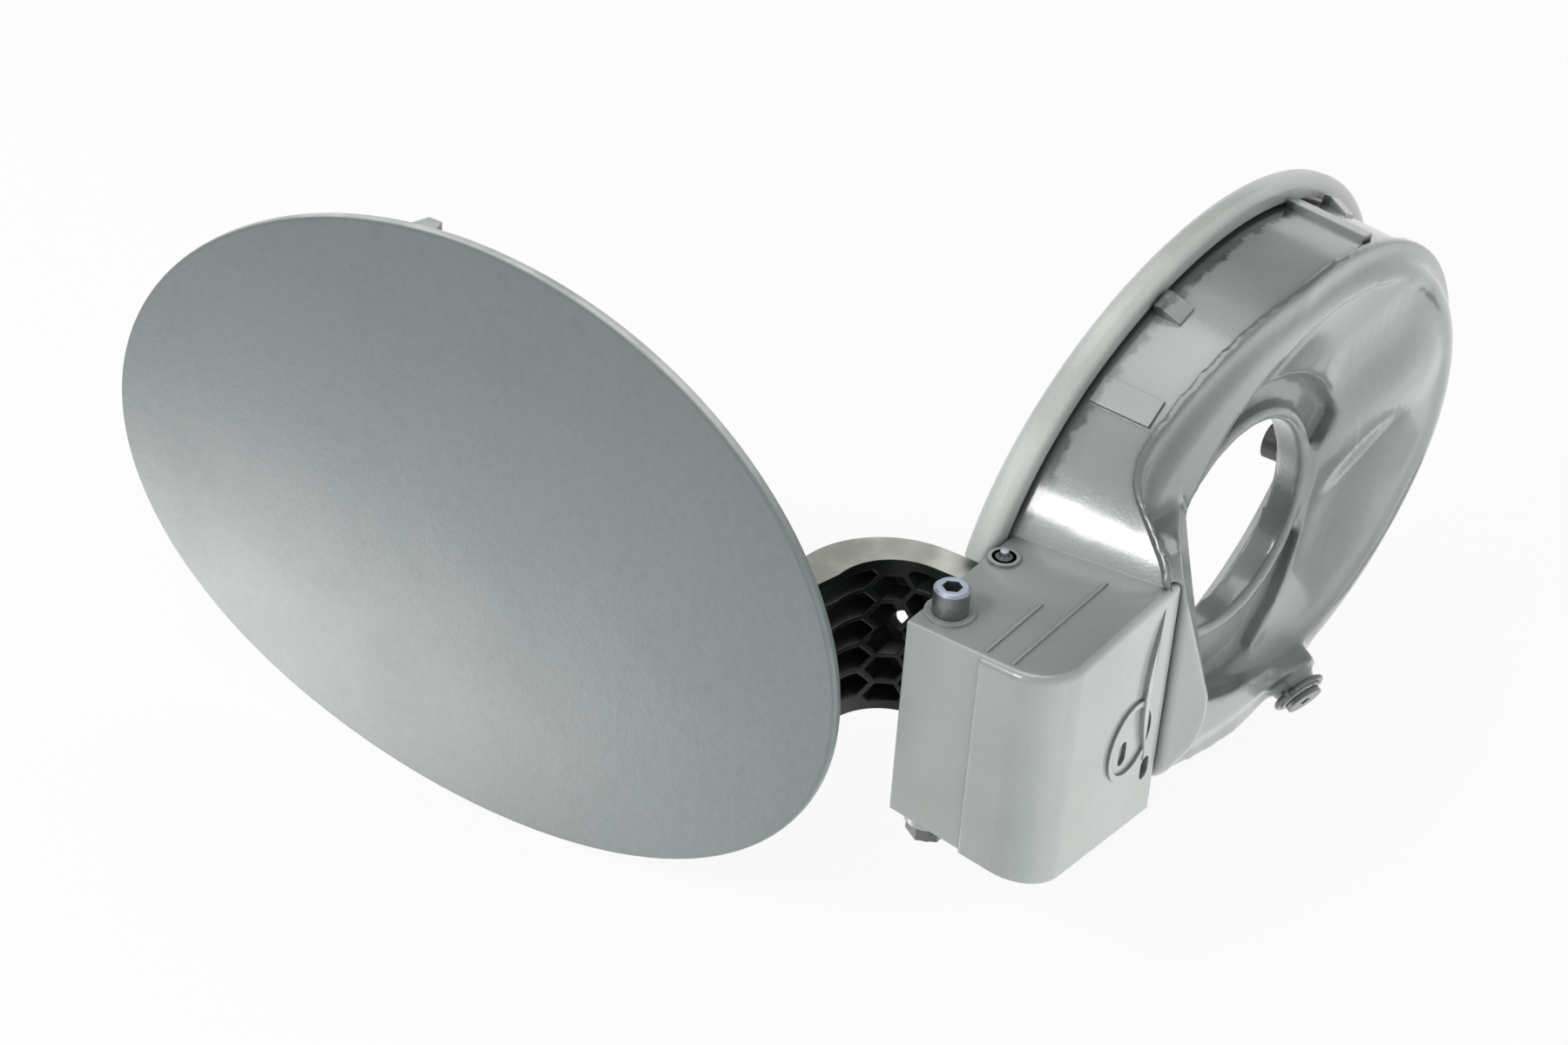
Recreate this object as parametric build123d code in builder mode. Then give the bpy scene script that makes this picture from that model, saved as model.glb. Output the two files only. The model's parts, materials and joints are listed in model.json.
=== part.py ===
"""Car fuel door: oval pocket with a hinge box, a rubber boot and a crowned door on a gooseneck arm."""
import os
from math import atan2, cos, degrees, radians, sin, sqrt

from build123d import *

os.makedirs("parts", exist_ok=True)

# Frame: X towards the hinge, Y into the car, Z up along the hinge axis, origin at the rim's centre

# Clearances
gap = 0.15
running = 0.05
swing_gap = 0.3

# Hinge
axis_x = 96.5
axis_y = 10.5
open_angle = 92.0
screw_r = 2.0
screw_head_r = 3.3
screw_head_h = 5.2
sleeve_r = 2.5
bush_r = 3.3
bush_flange_r = 4.4
bush_flange_t = 0.8
bush_length = 8.0
knuckle_r = 4.6
arm_low_z = -19.0
arm_high_z = 15.0
arm_far = 3.8
arm_near = 3.3
arm_back_y = 34.0
arm_corner = 10.0
arm_bow = 19.5
arm_bow_x = 82.5
arm_depth = 6.5
arm_skin = 2.0
arm_inner_bow = 12.5
arm_inner_x = 83.5
arm_inner_corner = 6.0
arm_root_near_x = 61.8
arm_root_far_x = 67.2
hex_r = 3.0
hex_rib = 0.9
arm_hole_r = 2.4
hex_x = 76.5

# Pocket wall
wall_half_x = 75.0
wall_half_z = 54.0
wall_draft = 0.1
wall_t = 2.0
edge_y = 27.0
edge_hinge_y = 22.3
edge_bend_x = 5.0
edge_hinge_x = 50.0
edge_round = 8.0

# Rim
rim_half_x = 80.3
rim_half_z = 59.1
rim_depth = 5.4
rim_crown_radius = 794.0
rim_round = 2.0
flange_half_x = 77.4
flange_half_z = 56.4
flange_front = 1.7
flange_back = 3.5

# Hinge box
box_near_x = 62.0
box_far_x = 104.3
box_front_y = 6.2
box_back_y = 37.4
box_top_z = 20.4
box_wall = 1.8
box_corner = 9.0
box_edge = 1.5
box_low_z = -21.0
box_step = 0.9
box_step_y = 21.7
ridge_y = 27.2
ridge_h = 0.4
ridge_width = 0.6
nut_face_z = -25.2
box_slope_x = 0.15
box_slope_y = 0.12
slot_low_z = arm_low_z - 2.0
slot_high_z = arm_high_z + 2.5
boss_r = 4.6

# Snap tabs
snap_y = 7.8
snap_length = 5.6
snap_width = 5.0
snap_h = 2.2

# Toggle spring
wire_r = 0.8
spring_x = 76.3
spring_y = 8.9
spring_z = 17.0
spring_bend = 1.6
spring_bow_y = 14.0
spring_arm_x = 95.0
spring_arm_y = 18.4

# Rear boot
boot_t = 1.8
boot_root_y = 20.0
boot_back_y = 28.8
boot_back_half_x = 68.0
boot_back_half_z = 48.0
boot_shoulder = 4.0
boot_tilt = 0.05
bead_t = 1.2
bead_front = 1.4
bead_back = 1.0
lobe_near_x = 42.0
lobe_far_x = 64.0
lobe_low_z = -27.0
lobe_high_z = 26.0
lobe_cut = (62.0, 38.0, 20.0)
lobe_cut_dir = (-0.55, 1.0, 0.285)
lobe_corner = 8.0
lobe_back_y = 38.6
lobe_round = 4.0
hinge_mid_z = -2.0

# Filler collar, tub and funnel
filler_x = 7.0
filler_z = -2.6
filler_tilt = 0.11
collar_r = 22.6
collar_t = 2.8
collar_length = 7.0
collar_back_y = 22.0
collar_round = 1.1
tub_r = 35.5
tub_drop = 2.9
tub_depth = 3.2
lip_rise = 1.0
saddle_half_x = 31.0
saddle_half_z = 38.0
saddle_shift = 5.4
saddle_low_x = -24.0
saddle_low_z = 6.6
saddle_high_x = -33.0
saddle_high_z = 17.6
mouth_x = -8.5
mouth_z = 1.0
mouth_half_x = 55.0
mouth_half_z = 42.5
mouth_y = 28.0

# Drain spout
spout_base = (-12.7, 26.9, -44.3)
spout_dir = (0.25, 0.86, -0.45)
spout_r = 4.7
spout_bore_r = 2.6
spout_length = 9.5
sump_r = 6.6
sump_length = 5.0
clip_r = 0.6
clip_reach = 8.2
valve_length = 4.0
valve_flange_t = 1.0

# Door
door_half_x = 85.0
door_half_z = 63.7
door_front_y = -5.6
door_centre_x = -0.5
door_t = 2.3
door_crown_radius = 398.0
inner_half_x = 60.0
inner_half_z = 42.0
inner_t = 2.0
foot_near_x = 20.0
foot_far_x = 66.0
foot_half_z = 17.0
foot_t = 2.2
rib_h = 3.2

# Locating tabs on the door's edge
tab_x = -14.5
tab_width = 7.0
tab_inset = 4.2
tab_t = 1.8
tab_back_y = 6.5

# Lock
lock_y = 15.0
lock_pin_r = 4.2
lock_boss_r = 8.4
grommet_r = 6.0
grommet_flange_r = 7.8
grommet_flange_t = 1.2
catch_x = -(inner_half_x - 10.0)
catch_t = 2.0
catch_half_z = 7.0

# Buffers
buffer_x = -58.0
buffer_z = 24.0
buffer_r = 4.0
buffer_stem_r = 2.4
ledge_r = 6.0
ledge_front_y = 4.0
ledge_back_y = 7.0

# Fasteners
rivet_r = 1.6
rivet_inset = 9.0
rivet_head_r = 3.2
arm_screw_r = 1.7
arm_screw_head_r = 3.2

# Shared placing
open_turn = Location((axis_x, axis_y, 0)) * Rotation(0, 0, open_angle) * Location((-axis_x, -axis_y, 0))


def at_depth(y):
    """Plane across the pocket at depth y, drawn in X and Z."""
    return Plane.XZ.offset(-y)


def tilted(y):
    """Plane across the boot at depth y on the axis, shallower towards the hinge."""
    return Plane(origin=(0, y, 0), x_dir=(1, -boot_tilt, 0), z_dir=(-boot_tilt, -1, 0))


def turned(plane):
    """Plane of the closed door carried to the open rest pose."""
    return Plane(open_turn * plane.location)


def on_wall(angle, y, lift):
    """Plane on the outside of the pocket wall, X along the depth, Y outwards."""
    shrink = wall_draft * y
    half_x = wall_half_x - shrink
    half_z = wall_half_z - shrink
    spot = (half_x * cos(radians(angle)), y, half_z * sin(radians(angle)))
    slope = atan2(half_x * sin(radians(angle)), half_z * cos(radians(angle)))
    out = (cos(slope), 0, sin(slope))
    start = (spot[0] + lift * out[0], y, spot[2] + lift * out[2])
    return Plane(origin=start, x_dir=(0, 1, 0), z_dir=(out[2], 0, -out[0]))


def oval(grow, front, back):
    """Drafted oval solid, larger than the pocket wall by grow."""
    with BuildPart() as body:
        for y in (front, back):
            shrink = wall_draft * y - grow
            with BuildSketch(at_depth(y)):
                Ellipse(wall_half_x - shrink, wall_half_z - shrink)
        loft()
    return body.part


def straight_oval(half_x, half_z, front, back):
    """Straight oval solid between two depths."""
    with BuildPart() as body:
        with BuildSketch(at_depth(front)):
            Ellipse(half_x, half_z)
        extrude(amount=front - back)
    return body.part


def crowned(front, back, radius, plane):
    """Slab between two equal arcs bowed about X."""
    reach = 75.0
    drop = radius - sqrt(radius**2 - reach**2)
    with BuildPart() as slab:
        with BuildSketch(plane):
            with BuildLine():
                ThreePointArc((front + drop, -reach), (front, 0), (front + drop, reach))
                Line((front + drop, reach), (back + drop, reach))
                ThreePointArc((back + drop, reach), (back, 0), (back + drop, -reach))
                Line((back + drop, -reach), (front + drop, -reach))
            make_face()
        extrude(amount=120, both=True)
    return slab.part


def block(low, high):
    """Box between two corners."""
    size = [b - a for a, b in zip(low, high)]
    middle = [(a + b) / 2 for a, b in zip(low, high)]
    return Pos(*middle) * Box(*size)


def behind_edge(shift):
    """Everything behind the slanted rear edge of the pocket wall."""
    with BuildPart() as body:
        with BuildSketch(Plane.XY) as plan:
            with BuildLine():
                Polyline(
                    (-110, edge_y + shift),
                    (edge_bend_x, edge_y + shift),
                    (edge_hinge_x, edge_hinge_y + shift),
                    (57, edge_hinge_y + shift),
                    (66, box_back_y + 1 + shift),
                    (120, box_back_y + 1 + shift),
                    (120, 90),
                    (-110, 90),
                    close=True,
                )
            make_face()
            bends = [v for v in plan.vertices() if edge_bend_x - 1 < v.X < 70]
            fillet(bends, edge_round)
        extrude(amount=80, both=True)
    return body.part


def hinge_block(inset):
    """Hinge box with rounded rear corner and sloping floor, shrunk by inset."""
    front = box_front_y if inset == 0 else box_front_y - 20
    near = box_near_x if inset == 0 else box_near_x - 12
    with BuildPart() as body:
        with BuildSketch(Plane.XY.offset(box_top_z - inset)):
            with BuildLine():
                Polyline(
                    (near, front),
                    (box_far_x - inset, front),
                    (box_far_x - inset, box_back_y - inset),
                    (near, box_back_y - inset),
                    close=True,
                )
            corner = make_face().vertices().sort_by(Axis.X).sort_by(Axis.Y)
            fillet(corner[-1:] if corner[-1].X > near + 1 else corner[-2:-1], box_corner - inset)
        extrude(amount=-70)
        if inset == 0:
            roof = body.faces().sort_by(Axis.Z)[-1].edges()
            fillet([e for e in roof if e.center().X > near + 5 and e.center().Y > front + 5], box_edge)
        floor = Plane(
            origin=(box_far_x, box_front_y, box_low_z + inset),
            x_dir=(1, 0, box_slope_x),
            z_dir=(-box_slope_x, box_slope_y, 1),
        )
        split(bisect_by=floor, keep=Keep.TOP)
    return body.part


def box_floor(x, y):
    """Height of the box's outer floor."""
    return box_low_z + box_slope_x * (x - box_far_x) - box_slope_y * (y - box_front_y)


# Pocket frame
wall_outer = oval(0, -6, 45)
wall_inner = oval(-wall_t, -8, 47)
pocket_inside = oval(-wall_t, -8, box_back_y - box_wall)
rear_cut = behind_edge(0)
rim_front = crowned(-30, flange_front, rim_crown_radius, Plane.YZ)
flange_slab = crowned(flange_front, flange_back, rim_crown_radius, Plane.YZ)
flange = straight_oval(flange_half_x, flange_half_z, 0, 12) & flange_slab
box_inside = hinge_block(box_wall)
box_shell = hinge_block(0) - pocket_inside
step_cut = block((box_far_x - box_step, 0, -60), (box_far_x + 5, box_step_y, 60))
slot = block((56, -9, slot_low_z), (84, box_front_y + 2, slot_high_z))
lock_plane = Plane(origin=(-80, lock_y, 0), x_dir=(0, 1, 0), z_dir=(1, 0, 0))
lock_out_x = -wall_half_x - 1.0
lock_in_x = -wall_half_x + 4.8

with BuildPart() as pocket_frame:
    add(wall_outer)
    add(rear_cut, mode=Mode.SUBTRACT)
    add(flange)
    add(rim_front, mode=Mode.SUBTRACT)
    add(wall_inner, mode=Mode.SUBTRACT)
    # Flat seat for the lock grommet
    with BuildSketch(lock_plane.offset(lock_out_x + 80)):
        Circle(lock_boss_r)
    extrude(amount=lock_in_x - lock_out_x)
    with BuildSketch(lock_plane):
        Circle(grommet_r + gap)
    extrude(amount=20, mode=Mode.SUBTRACT)
    # Ledges for the buffers
    for side in (-1, 1):
        with BuildSketch(at_depth(ledge_front_y)):
            with Locations((buffer_x, side * buffer_z)):
                Circle(ledge_r)
                Circle(buffer_stem_r + gap, mode=Mode.SUBTRACT)
        extrude(amount=ledge_front_y - ledge_back_y)
    # Hinge box, open to the front and to the pocket
    add(box_shell)
    add(step_cut, mode=Mode.SUBTRACT)
    add(box_inside, mode=Mode.SUBTRACT)
    add(slot, mode=Mode.SUBTRACT)
    # Hinge bosses above and below the knuckle
    with BuildSketch(Plane.XY.offset(arm_high_z + swing_gap)):
        with Locations((axis_x, axis_y)):
            Circle(boss_r)
    extrude(amount=box_top_z + 0.5 - arm_high_z - swing_gap)
    with BuildSketch(Plane.XY.offset(nut_face_z)):
        with Locations((axis_x, axis_y)):
            Circle(boss_r)
    extrude(amount=arm_low_z - swing_gap - nut_face_z)
    # Small boss for the spring's end
    with BuildSketch(Plane.XY.offset(box_top_z - box_wall)):
        with Locations((spring_x, spring_y)):
            Circle(3.0)
    extrude(amount=box_wall + 0.6)
    # Ridges on the box's roof
    for ridge_x, y in ((84, box_step_y), (71, ridge_y)):
        with BuildSketch(Plane.XY.offset(box_top_z - 0.5)):
            with Locations(((ridge_x + box_far_x - 2) / 2, y)):
                Rectangle(box_far_x - 2 - ridge_x, ridge_width)
        extrude(amount=ridge_h + 0.5)
    # Moulded ring and slot on the box's back
    with BuildSketch(at_depth(box_back_y - 0.5)):
        with Locations((box_near_x + 12, -7.8)):
            Circle(8.0)
            Circle(6.8, mode=Mode.SUBTRACT)
    extrude(amount=-1.1)
    with BuildSketch(at_depth(box_back_y - 0.8)):
        with Locations((box_near_x + 14, -9.8)):
            SlotCenterToCenter(2.5, 2.6, rotation=90)
    extrude(amount=-5, mode=Mode.SUBTRACT)
    with BuildSketch(at_depth(box_back_y - 5)):
        with Locations((box_near_x + 4, -19.0)):
            SlotCenterToCenter(2.0, 3.0, rotation=90)
    extrude(amount=-10, mode=Mode.SUBTRACT)
    # Snap tabs behind the rim
    for angle in (70, 125, 166, 243, 300):
        with BuildSketch(on_wall(angle, snap_y, 0)):
            Polygon((0, -1.2), (snap_length, -1.2), (snap_length, 0), (1.4, snap_h), (0, snap_h), align=None)
        extrude(amount=snap_width / 2, both=True)
    # Raised rail and band along the wall
    for angle, width, height, length in ((110, 4.0, 2.0, 17.2), (51.5, 6.0, 0.6, 12.2)):
        fall = wall_draft * length
        with BuildSketch(on_wall(angle, snap_y, 0)):
            Polygon((0, -1.2), (length, -1.2 - fall), (length, height - fall), (0, height), align=None)
        extrude(amount=width / 2, both=True)
    # Holes for the hinge screw and the spring
    with BuildSketch(Plane.XY.offset(-60)):
        with Locations((axis_x, axis_y)):
            Circle(screw_r + gap)
        with Locations((spring_x, spring_y)):
            Circle(wire_r + gap)
    extrude(amount=120, mode=Mode.SUBTRACT)
pocket_frame.part.label = "pocket_frame"
export_step(pocket_frame.part, "parts/pocket_frame.step")

# Rim seal
seal_slab = crowned(0, rim_depth, rim_crown_radius, Plane.YZ)
seal_slot = crowned(flange_front - gap, flange_back + gap, rim_crown_radius, Plane.YZ)
seal_back = crowned(flange_front - gap, 20, rim_crown_radius, Plane.YZ)
seal_ring = straight_oval(rim_half_x, rim_half_z, -6, 14)
seal_hole = straight_oval(wall_half_x - wall_t, wall_half_z - wall_t, -8, 16)
seal_groove = straight_oval(flange_half_x + gap, flange_half_z + gap, -8, 16) & seal_slot
seal_wall = straight_oval(wall_half_x + swing_gap, wall_half_z + swing_gap, -8, 16) & seal_back

with BuildPart() as rim_seal:
    add(seal_ring)
    add(seal_slab, mode=Mode.INTERSECT)
    fillet(rim_seal.edges().filter_by(lambda e: e.length > 300), rim_round)
    add(seal_hole, mode=Mode.SUBTRACT)
    add(seal_groove, mode=Mode.SUBTRACT)
    add(seal_wall, mode=Mode.SUBTRACT)
    add(slot, mode=Mode.SUBTRACT)
rim_seal.part.label = "rim_seal"
export_step(rim_seal.part, "parts/rim_seal.step")


# Rear boot
def boot_body(front, shrink):
    """Oval bulge with a rounded shoulder and a tilted back."""
    taper = wall_draft * front + shrink
    with BuildPart() as body:
        with BuildSketch(at_depth(front)):
            Ellipse(wall_half_x - taper, wall_half_z - taper)
        with BuildSketch(tilted(boot_back_y - shrink)):
            Ellipse(boot_back_half_x - shrink, boot_back_half_z - shrink)
        loft()
        fillet(body.edges().sort_by(Axis.Y)[-1:], boot_shoulder - shrink)
    return body.part


def boot_lobe(front, shrink):
    """Raised end of the boot beside the hinge box."""
    width = lobe_far_x - lobe_near_x
    height = lobe_high_z - lobe_low_z
    middle = ((lobe_far_x + lobe_near_x) / 2, (lobe_high_z + lobe_low_z) / 2)
    with BuildPart() as body:
        with BuildSketch(at_depth(front)):
            with Locations(middle):
                RectangleRounded(width - 2 * shrink, height - 2 * shrink, lobe_corner - shrink)
        extrude(amount=front - lobe_back_y + shrink)
        fillet(body.faces().sort_by(Axis.Y)[-1].edges(), lobe_round - shrink)
        slope = Plane(origin=lobe_cut, z_dir=lobe_cut_dir).offset(-shrink)
        split(bisect_by=slope, keep=Keep.BOTTOM)
    return body.part


filler_plane = Plane(
    origin=(filler_x, collar_back_y, filler_z),
    x_dir=(1, -filler_tilt, 0),
    z_dir=(-filler_tilt, -1, 0),
)


def funnel(grow):
    """Round tub that flares to an oval mouth, larger by grow."""
    with BuildPart() as body:
        with BuildSketch(filler_plane.offset(tub_depth + grow)):
            with Locations((0, -tub_drop)):
                Circle(tub_r - 1 + grow)
        with BuildSketch(filler_plane.offset(-lip_rise)):
            with Locations((0, -tub_drop)):
                Circle(tub_r + grow)
        with BuildSketch(tilted(mouth_y)):
            with Locations((mouth_x, mouth_z)):
                Ellipse(mouth_half_x + grow, mouth_half_z + grow)
        loft(ruled=True)
        with BuildSketch(tilted(mouth_y)):
            with Locations((mouth_x, mouth_z)):
                Ellipse(mouth_half_x + grow, mouth_half_z + grow)
        extrude(amount=-20)
    return body.part


boot_outside = boot_body(boot_root_y, 0) + boot_lobe(boot_root_y, 0)
boot_inside = boot_body(boot_root_y - 1, boot_t) + boot_lobe(boot_root_y - 1, boot_t)
boot_limit = boot_body(4, 0) + boot_lobe(4, 0)
boot_edge = behind_edge(gap)
box_zone = block((box_near_x - gap, -10, box_floor(box_near_x, box_back_y) - 1), (140, 60, box_top_z + gap))
tub_shell = (funnel(boot_t) & boot_limit) - box_zone
bead_ring = (oval(bead_t, 10, 45) - oval(-boot_t, 9, 46)) & (behind_edge(-bead_front) - behind_edge(bead_back))
wall_room = oval(gap, 5, 46) - boot_edge
spout_plane = Plane(origin=spout_base, x_dir=(1, 0, 0.55), z_dir=spout_dir)

with BuildPart() as collar:
    with BuildSketch(filler_plane.offset(collar_length)):
        Circle(collar_r + collar_t)
        Circle(collar_r, mode=Mode.SUBTRACT)
    extrude(amount=-collar_length)
    fillet(collar.faces().sort_by(Axis.Y)[-1].edges(), collar_round)

with BuildPart() as saddle:
    with BuildSketch(filler_plane.offset(tub_depth + boot_t)):
        with Locations((0, -tub_drop)):
            Circle(tub_r)
        with BuildLine():
            Polyline(
                (saddle_low_x, saddle_low_z),
                (saddle_high_x, saddle_high_z),
                (-60, 22),
                (-60, -60),
                (-12, -60),
                (-12, saddle_low_z),
                close=True,
            )
        make_face(mode=Mode.INTERSECT)
        with Locations((saddle_shift, -tub_drop)):
            Ellipse(saddle_half_x, saddle_half_z, mode=Mode.SUBTRACT)
    extrude(amount=-tub_depth - boot_t - lip_rise)

with BuildPart() as rear_boot:
    add(boot_outside)
    # Drain spout on the lowest part of the bulge
    for length, radius in ((sump_length, sump_r), (spout_length, spout_r)):
        with BuildSketch(spout_plane):
            Circle(radius)
        extrude(amount=length)
    add(boot_inside, mode=Mode.SUBTRACT)
    add(boot_edge, mode=Mode.INTERSECT)
    add(bead_ring)
    add(wall_room, mode=Mode.SUBTRACT)
    add(box_zone, mode=Mode.SUBTRACT)
    add(tub_shell)
    add(funnel(0), mode=Mode.SUBTRACT)
    # Saddle that fills the tub on the side away from the hinge
    add(saddle.part)
    # Collar for the filler neck
    add(collar.part)
    with BuildSketch(filler_plane.offset(20)):
        Circle(collar_r)
    extrude(amount=-50, mode=Mode.SUBTRACT)
    with BuildSketch(spout_plane):
        Circle(spout_bore_r)
    extrude(amount=spout_length + 1, mode=Mode.SUBTRACT)
rear_boot.part.label = "rear_boot"
export_step(rear_boot.part, "parts/rear_boot.step")

# Drain valve, a plug with a square recess
with BuildPart() as drain_valve:
    with BuildSketch(spout_plane.offset(spout_length - valve_length)):
        Circle(spout_bore_r - running)
    extrude(amount=valve_length)
    with BuildSketch(spout_plane.offset(spout_length)):
        Circle(spout_r - 0.7)
    extrude(amount=valve_flange_t)
    with BuildSketch(spout_plane.offset(spout_length + valve_flange_t)):
        Rectangle(2.0, 2.0)
    extrude(amount=-2.0, mode=Mode.SUBTRACT)
drain_valve.part.label = "drain_valve"
export_step(drain_valve.part, "parts/drain_valve.step")

# Drain clip, a wire ring with a short tail
with BuildPart() as drain_clip:
    with BuildSketch(Plane(spout_plane.offset(clip_reach).location * Rotation(90, 0, 0))):
        with Locations((spout_r + clip_r + running, 0)):
            Circle(clip_r)
    revolve(axis=Axis(spout_base, spout_dir))
    with BuildSketch(Plane(spout_plane.offset(clip_reach).location * Rotation(0, 90, 0))):
        Circle(clip_r - 0.05)
    extrude(amount=spout_r + clip_r + 3.6)
    with BuildSketch(spout_plane.offset(-2)):
        Circle(spout_r + running)
    extrude(amount=spout_length + 4, mode=Mode.SUBTRACT)
drain_clip.part.label = "drain_clip"
export_step(drain_clip.part, "parts/drain_clip.step")

# Hinge screw with a hexagon socket
head_z = box_top_z + 0.5
screw_end_z = nut_face_z - 4.6
with BuildPart() as hinge_screw:
    with BuildSketch(Plane.XY.offset(head_z)):
        with Locations((axis_x, axis_y)):
            Circle(screw_head_r)
    extrude(amount=screw_head_h)
    chamfer(hinge_screw.edges().group_by(Axis.Z)[-1], 0.5)
    with BuildSketch(Plane.XY.offset(head_z + screw_head_h)):
        with Locations((axis_x, axis_y)):
            RegularPolygon(radius=1.9, side_count=6)
    extrude(amount=-2.6, mode=Mode.SUBTRACT)
    with BuildSketch(Plane.XY.offset(screw_end_z)):
        with Locations((axis_x, axis_y)):
            Circle(screw_r)
    extrude(amount=head_z - screw_end_z)
hinge_screw.part.label = "hinge_screw"
export_step(hinge_screw.part, "parts/hinge_screw.step")

# Hinge sleeve, clamped between the two bosses
with BuildPart() as hinge_sleeve:
    with BuildSketch(Plane.XY.offset(arm_low_z - swing_gap)):
        with Locations((axis_x, axis_y)):
            Circle(sleeve_r)
            Circle(screw_r + running, mode=Mode.SUBTRACT)
    extrude(amount=arm_high_z - arm_low_z + 2 * swing_gap)
hinge_sleeve.part.label = "hinge_sleeve"
export_step(hinge_sleeve.part, "parts/hinge_sleeve.step")

# Hinge nut
with BuildPart() as hinge_nut:
    with BuildSketch(Plane.XY.offset(nut_face_z)):
        with Locations((axis_x, axis_y)):
            RegularPolygon(radius=3.5, side_count=6, major_radius=False)
            Circle(screw_r + running, mode=Mode.SUBTRACT)
    extrude(amount=-3.2)
hinge_nut.part.label = "hinge_nut"
export_step(hinge_nut.part, "parts/hinge_nut.step")

# Toggle spring, a bent wire from the roof boss to the arm
arm_eye = open_turn * Pos(spring_arm_x, spring_arm_y, spring_z)
eye_x = arm_eye.position.X
eye_y = arm_eye.position.Y
bend = spring_bend * (1 - sin(radians(45)))
bow_x = (spring_x + eye_x) / 2
bow_r = (eye_x - spring_x) / 2
with BuildPart() as toggle_spring:
    with BuildLine() as wire:
        Line((spring_x, spring_y, box_top_z + 1.9), (spring_x, spring_y, spring_z + spring_bend))
        ThreePointArc(
            (spring_x, spring_y, spring_z + spring_bend),
            (spring_x, spring_y + bend, spring_z + bend),
            (spring_x, spring_y + spring_bend, spring_z),
        )
        Line((spring_x, spring_y + spring_bend, spring_z), (spring_x, spring_bow_y, spring_z))
        ThreePointArc(
            (spring_x, spring_bow_y, spring_z),
            (bow_x, spring_bow_y + bow_r, spring_z),
            (eye_x, spring_bow_y, spring_z),
        )
        Line((eye_x, spring_bow_y, spring_z), (eye_x, eye_y + spring_bend, spring_z))
        ThreePointArc(
            (eye_x, eye_y + spring_bend, spring_z),
            (eye_x, eye_y + bend, spring_z - bend),
            (eye_x, eye_y, spring_z - spring_bend),
        )
        Line((eye_x, eye_y, spring_z - spring_bend), (eye_x, eye_y, arm_high_z - 3.5))
    with BuildSketch(Plane.XY.offset(box_top_z + 1.9)):
        with Locations((spring_x, spring_y)):
            Circle(wire_r)
    sweep(path=wire.wires()[0])
toggle_spring.part.label = "toggle_spring"
export_step(toggle_spring.part, "parts/toggle_spring.step")

# Spring retainer, a push-on ring
with BuildPart() as spring_retainer:
    with BuildSketch(Plane.XY.offset(box_top_z + 0.6)):
        with Locations((spring_x, spring_y)):
            Circle(2.3)
            Circle(wire_r + running, mode=Mode.SUBTRACT)
    extrude(amount=0.7)
spring_retainer.part.label = "spring_retainer"
export_step(spring_retainer.part, "parts/spring_retainer.step")

# Lock grommet
with BuildPart() as lock_grommet:
    with BuildSketch(lock_plane.offset(lock_out_x + 80 - grommet_flange_t - running)):
        Circle(grommet_flange_r)
    extrude(amount=grommet_flange_t)
    with BuildSketch(lock_plane.offset(lock_in_x + 80)):
        Circle(grommet_flange_r)
    extrude(amount=grommet_flange_t)
    with BuildSketch(lock_plane.offset(lock_out_x + 80 - running)):
        Circle(grommet_r)
    extrude(amount=lock_in_x - lock_out_x + running)
    with BuildSketch(lock_plane):
        Circle(lock_pin_r)
    extrude(amount=30, mode=Mode.SUBTRACT)
lock_grommet.part.label = "lock_grommet"
export_step(lock_grommet.part, "parts/lock_grommet.step")

# Door buffers
panel_back_y = door_front_y + door_t
buffer_front_y = panel_back_y + buffer_z**2 / (2 * door_crown_radius) + swing_gap
with BuildPart() as door_buffers:
    for side in (-1, 1):
        for start, end, radius in (
            (buffer_front_y, ledge_front_y, buffer_r),
            (ledge_front_y, ledge_back_y, buffer_stem_r),
            (ledge_back_y, ledge_back_y + 2.4, buffer_stem_r + 0.9),
        ):
            with BuildSketch(at_depth(start)):
                with Locations((buffer_x, side * buffer_z)):
                    Circle(radius)
            extrude(amount=start - end)
door_buffers.part.label = "door_buffers"
export_step(door_buffers.part, "parts/door_buffers.step")

# Screw and rivet places on the door
screw_spots = [(x, z) for x in (foot_near_x + 7, foot_far_x - 16) for z in (-14, 10)]

# Door panel, crowned about X, with locating tabs behind its edge
door_plane = turned(at_depth(-20))
door_yz = turned(Plane.YZ)
panel_slab = crowned(door_front_y, panel_back_y, door_crown_radius, door_yz)
inner_front_y = panel_back_y + gap
inner_back_y = inner_front_y + inner_t
inner_slab = crowned(inner_front_y, inner_back_y, door_crown_radius, door_yz)
foot_front_y = inner_back_y + gap
foot_back_y = foot_front_y + foot_t
foot_slab = crowned(foot_front_y, foot_back_y, door_crown_radius, door_yz)
rivet_row_x = inner_half_x - rivet_inset
rivet_row_z = inner_half_z - rivet_inset
rivet_turns = [radians(a) for a in (60, 120, 155, 205, 240, 300)]
rivet_spots = [(rivet_row_x * cos(a), rivet_row_z * sin(a)) for a in rivet_turns]

with BuildPart() as door_panel:
    with BuildSketch(door_plane):
        with Locations((door_centre_x, 0)):
            Ellipse(door_half_x, door_half_z)
    extrude(amount=-40)
    add(panel_slab, mode=Mode.INTERSECT)
    fillet(door_panel.edges().filter_by(lambda e: e.length > 300), 0.8)
    for side in (-1, 1):
        tab_low_z = door_half_z - tab_inset
        low = tab_low_z if side > 0 else -tab_low_z - tab_t
        with BuildSketch(turned(Plane.XY.offset(low))):
            Polygon(
                (tab_x - tab_width / 2, panel_back_y + 3.6),
                (tab_x + tab_width / 2, panel_back_y + 3.6),
                (tab_x + 1.5, tab_back_y),
                (tab_x - 1.5, tab_back_y),
                align=None,
            )
        extrude(amount=tab_t)
door_panel.part.label = "door_panel"
export_step(door_panel.part, "parts/door_panel.step")

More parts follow.
